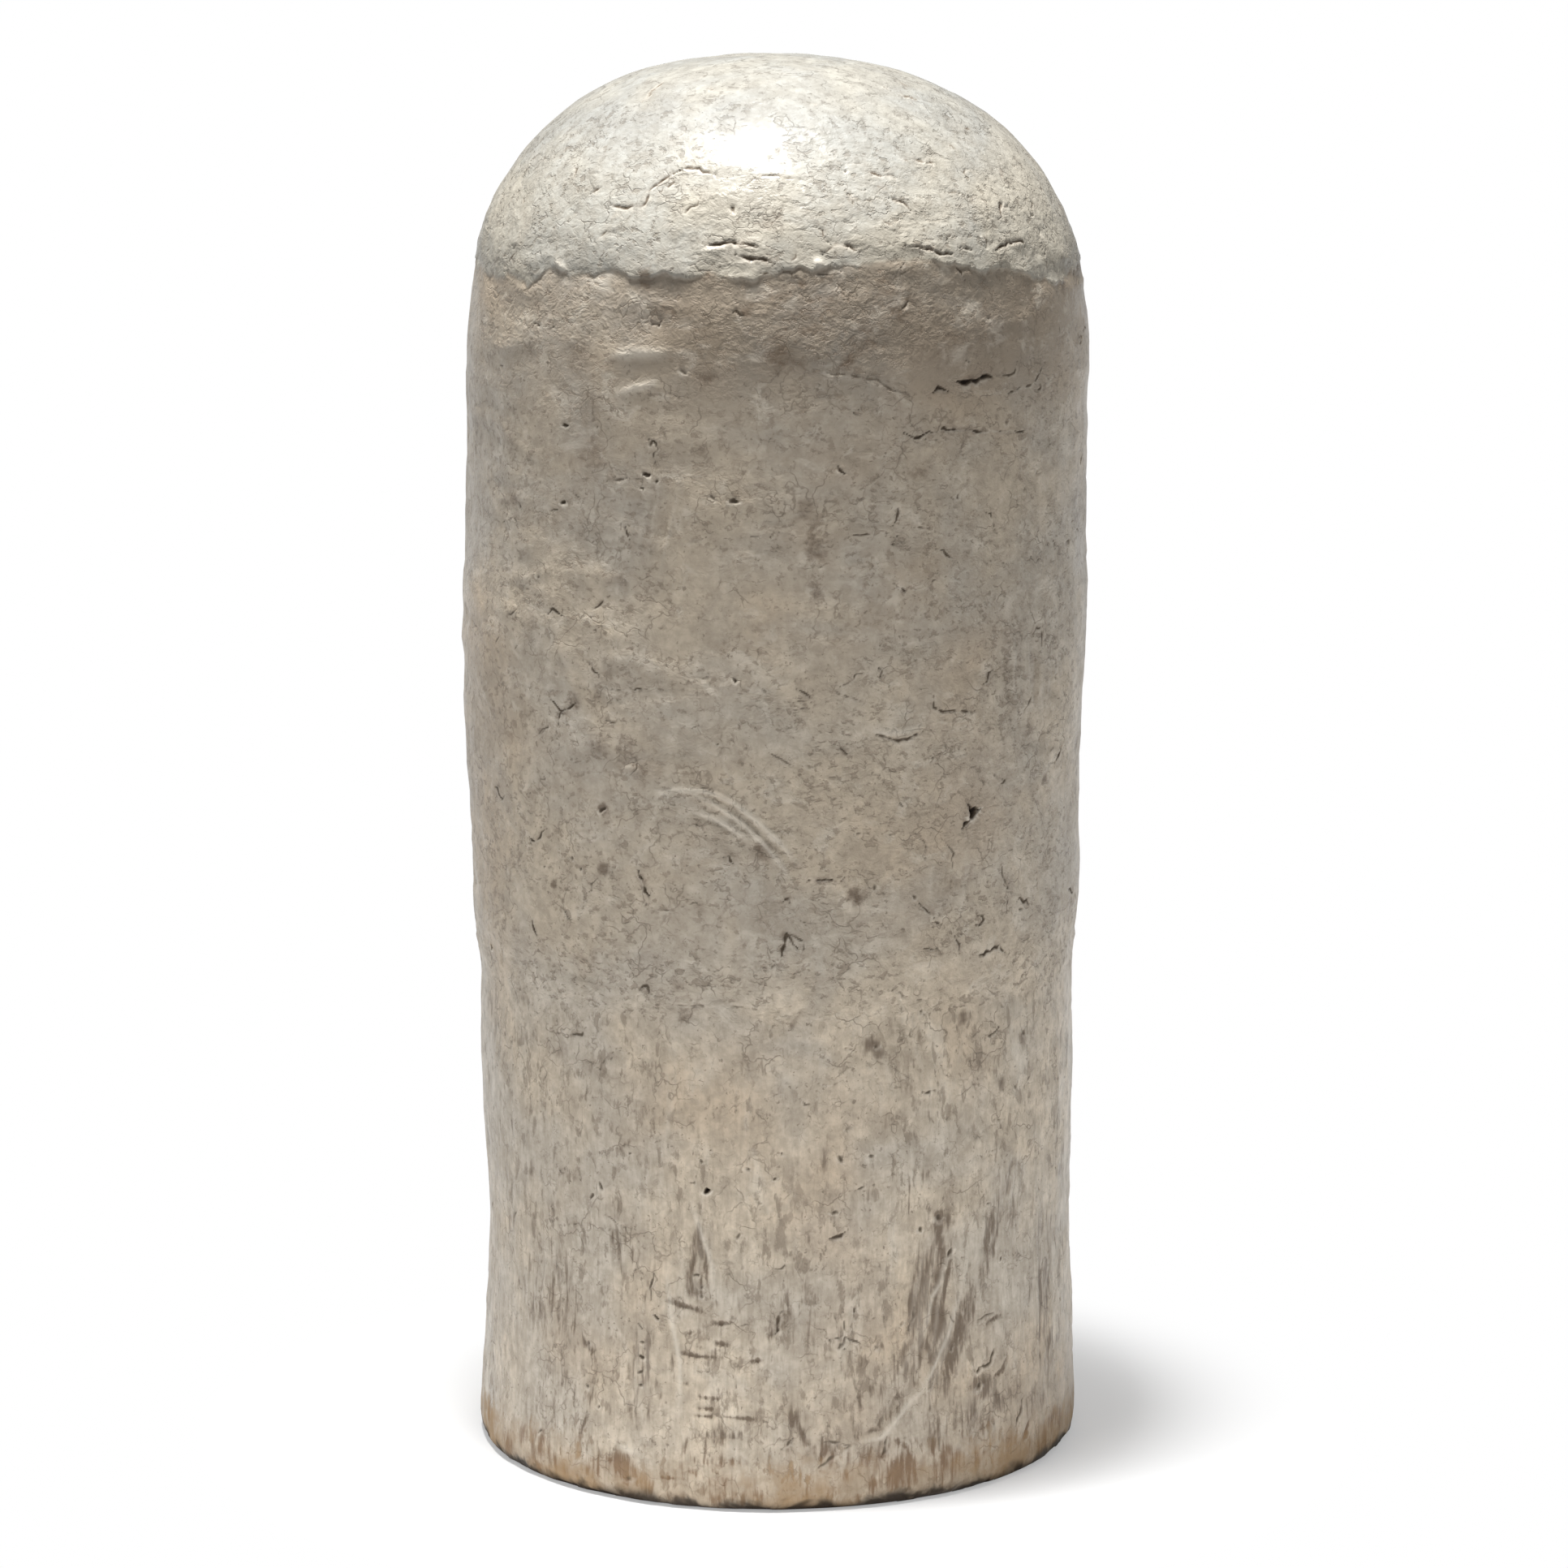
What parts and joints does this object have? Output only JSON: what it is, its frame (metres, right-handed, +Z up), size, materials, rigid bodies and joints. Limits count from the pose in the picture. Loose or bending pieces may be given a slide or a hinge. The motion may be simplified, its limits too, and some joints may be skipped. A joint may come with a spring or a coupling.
{
  "type": "closed domed ceramic column",
  "caption": "Tall closed ceramic column with a round wall and a low domed top, hand-built in coarse clay under a pale slip glaze with cracks, pits and drag marks.",
  "frame": {"origin": "centre of the underside, on the floor it stands on", "axes": "+Z up along the column, -Y towards the front, +X to the right seen from the front"},
  "size_m": [0.3849, 0.3865, 0.86],
  "materials": {
    "glaze": "semi-gloss cream and grey slip glaze, mottled, crackled and pitted over coarse buff stoneware"
  },
  "bodies": {
    "root": {"column": "glaze"}
  },
  "joints": []
}
